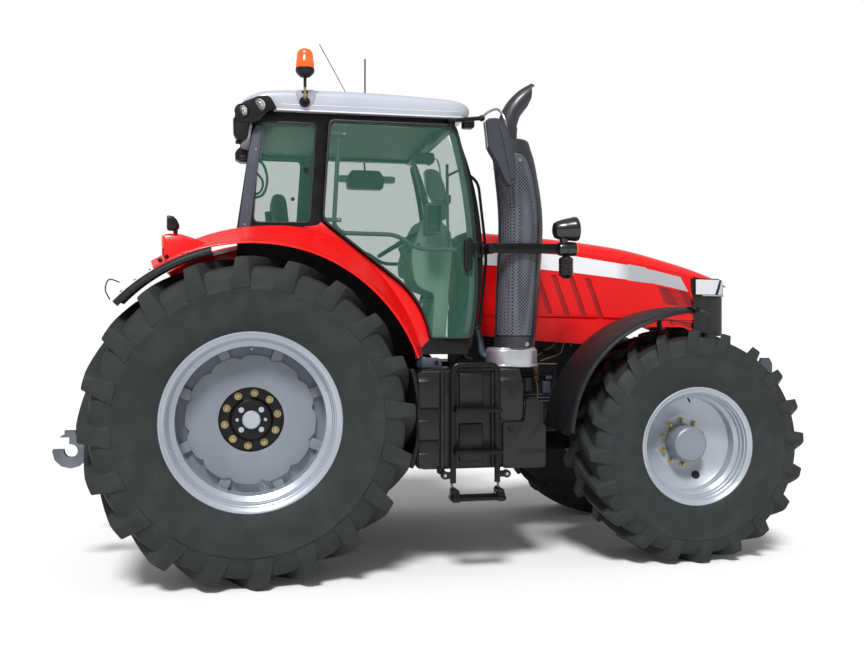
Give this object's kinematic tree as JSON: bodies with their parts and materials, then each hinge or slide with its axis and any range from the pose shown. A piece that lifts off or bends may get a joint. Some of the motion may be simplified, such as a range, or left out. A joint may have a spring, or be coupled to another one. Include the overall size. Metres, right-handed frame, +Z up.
{
  "type": "farm tractor",
  "caption": "Four-wheel-drive farm tractor with a glazed cab, one-piece bonnet, exhaust stack, chevron-lugged tyres, front and rear linkages",
  "frame": {"origin": "on the ground, under the middle of the tractor's length and width", "axes": "+X forward, +Y to the driver's left, +Z up"},
  "size_m": [5.293, 2.58, 3.6523],
  "materials": {
    "red_paint": "gloss",
    "silver_paint": "satin",
    "roof_grey": "satin",
    "dark_metal": "satin",
    "cast_dark": "satin",
    "bright_steel": "brushed",
    "aluminium": "satin",
    "black_plastic": "matte",
    "tyre": "matte",
    "glass": "gloss",
    "seat_fabric": "woven",
    "amber": "gloss"
  },
  "bodies": {
    "chassis": {"front_axle": "cast_dark", "transmission": "cast_dark", "engine_block": "cast_dark", "front_frame": "dark_metal", "drawbar": "dark_metal", "cab_frame": "dark_metal", "cab_floor": "black_plastic", "cab_roof": "roof_grey", "cab_glass": "glass", "seat_base": "black_plastic", "seat_pads": "seat_fabric", "dash": "black_plastic", "rear_fenders": "red_paint", "fender_extensions": "black_plastic", "side_tanks": "black_plastic", "ladders": "dark_metal", "aftertreatment_casing": "aluminium", "exhaust_stack": "dark_metal", "mirrors": "black_plastic", "work_lamps": "black_plastic", "beacon": "amber"},
    "wheel_rear_left": {"rear_tyre_left": "tyre", "rear_wheel_left": "silver_paint"},
    "wheel_rear_right": {"rear_tyre_right": "tyre", "rear_wheel_right": "silver_paint"},
    "wheel_front_left": {"front_tyre_left": "tyre", "front_wheel_left": "silver_paint"},
    "wheel_front_right": {"front_tyre_right": "tyre", "front_wheel_right": "silver_paint"},
    "hub_left": {"knuckle_left": "cast_dark"},
    "hub_right": {"knuckle_right": "cast_dark"},
    "fender_left": {"front_fender_left": "black_plastic"},
    "fender_right": {"front_fender_right": "black_plastic"},
    "cross_rod": {"steering_rod": "bright_steel"},
    "hand_wheel": {"steering_wheel": "black_plastic"},
    "cab_door_left": {"door_left": "dark_metal", "door_glass_left": "glass"},
    "cab_door_right": {"door_right": "dark_metal", "door_glass_right": "glass"},
    "bonnet": {"hood": "red_paint", "hood_grille": "black_plastic"},
    "nose_links": {"front_links": "dark_metal"},
    "draft_links": {"lower_links": "dark_metal"},
    "lift_levers": {"lift_arms": "dark_metal"},
    "lift_struts": {"lift_rods": "dark_metal"},
    "upper_link": {"top_link": "dark_metal"},
    "pto": {"pto_shaft": "bright_steel"}
  },
  "joints": [
    {"name": "rear_left_spin", "type": "hinge", "parent": "chassis", "child": "wheel_rear_left", "pos_m": [-1.35, 0.935, 1.03], "axis": [0, 1, 0], "continuous": true},
    {"name": "rear_right_spin", "type": "hinge", "parent": "chassis", "child": "wheel_rear_right", "pos_m": [-1.35, -0.935, 1.03], "axis": [0, 1, 0], "continuous": true},
    {"name": "steer", "type": "hinge", "parent": "chassis", "child": "hub_left", "pos_m": [1.65, 0.69, 0.8], "axis": [0, 0, 1], "range_deg": [-30, 30]},
    {"name": "steer_right", "type": "hinge", "parent": "chassis", "child": "hub_right", "pos_m": [1.65, -0.69, 0.8], "axis": [0, 0, 1], "range_deg": [-30, 30]},
    {"name": "front_left_spin", "type": "hinge", "parent": "hub_left", "child": "wheel_front_left", "pos_m": [1.65, 0.885, 0.8], "axis": [0, 1, 0], "continuous": true},
    {"name": "front_right_spin", "type": "hinge", "parent": "hub_right", "child": "wheel_front_right", "pos_m": [1.65, -0.885, 0.8], "axis": [0, 1, 0], "continuous": true},
    {"name": "fender_left_turn", "type": "hinge", "parent": "hub_left", "child": "fender_left", "pos_m": [1.65, 0.69, 0.96], "axis": [0, 0, 1], "range_deg": [-15.5, 15.5]},
    {"name": "fender_right_turn", "type": "hinge", "parent": "hub_right", "child": "fender_right", "pos_m": [1.65, -0.69, 0.96], "axis": [0, 0, 1], "range_deg": [-15.5, 15.5]},
    {"name": "rod_slide", "type": "slide", "parent": "chassis", "child": "cross_rod", "axis": [0, 1, 0], "range_m": [-0.105, 0.105]},
    {"name": "hand_wheel_turn", "type": "hinge", "parent": "chassis", "child": "hand_wheel", "pos_m": [-0.22, 0, 2.255], "axis": [-0.5299, 0, 0.848], "range_deg": [-545, 545]},
    {"name": "door_left_swing", "type": "hinge", "parent": "chassis", "child": "cab_door_left", "pos_m": [-0.892, 0.88, 1.47], "axis": [0, -0.0523, 0.9986], "range_deg": [0, 70]},
    {"name": "door_right_swing", "type": "hinge", "parent": "chassis", "child": "cab_door_right", "pos_m": [-0.892, -0.88, 1.47], "axis": [0, -0.0523, -0.9986], "range_deg": [0, 70]},
    {"name": "bonnet_lift", "type": "hinge", "parent": "chassis", "child": "bonnet", "pos_m": [0.3, 0, 2.262], "axis": [0, -1, 0], "range_deg": [0, 45]},
    {"name": "nose_links_fold", "type": "hinge", "parent": "chassis", "child": "nose_links", "pos_m": [2.54, 0, 0.72], "axis": [0, 1, 0], "range_deg": [0, 100]},
    {"name": "hitch_lift", "type": "hinge", "parent": "chassis", "child": "draft_links", "pos_m": [-1.45, 0, 0.56], "axis": [0, 1, 0], "range_deg": [-28, 8]},
    {"name": "lift_lever_turn", "type": "hinge", "parent": "chassis", "child": "lift_levers", "pos_m": [-1.6, 0, 1.42], "axis": [0, 1, 0], "range_deg": [-43, 13]},
    {"name": "lift_strut_turn", "type": "hinge", "parent": "lift_levers", "child": "lift_struts", "pos_m": [-2, 0, 1.475], "axis": [0, 1, 0], "range_deg": [-14, 45]},
    {"name": "upper_link_swing", "type": "hinge", "parent": "chassis", "child": "upper_link", "pos_m": [-1.8, 0, 1.15], "axis": [0, -1, 0], "range_deg": [0, 80]},
    {"name": "pto_spin", "type": "hinge", "parent": "chassis", "child": "pto", "pos_m": [-1.85, 0, 0.76], "axis": [1, 0, 0], "continuous": true}
  ],
  "couplings": [
    {"joint": "steer_right", "follows": "steer", "ratio": 1},
    {"joint": "fender_left_turn", "follows": "steer", "ratio": -0.5},
    {"joint": "fender_right_turn", "follows": "steer", "ratio": -0.5},
    {"joint": "rod_slide", "follows": "steer", "m_per_rad": -0.195},
    {"joint": "hand_wheel_turn", "follows": "steer", "ratio": 18},
    {"joint": "lift_lever_turn", "follows": "hitch_lift", "ratio": 1.5},
    {"joint": "lift_strut_turn", "follows": "hitch_lift", "ratio": -1.5}
  ]
}
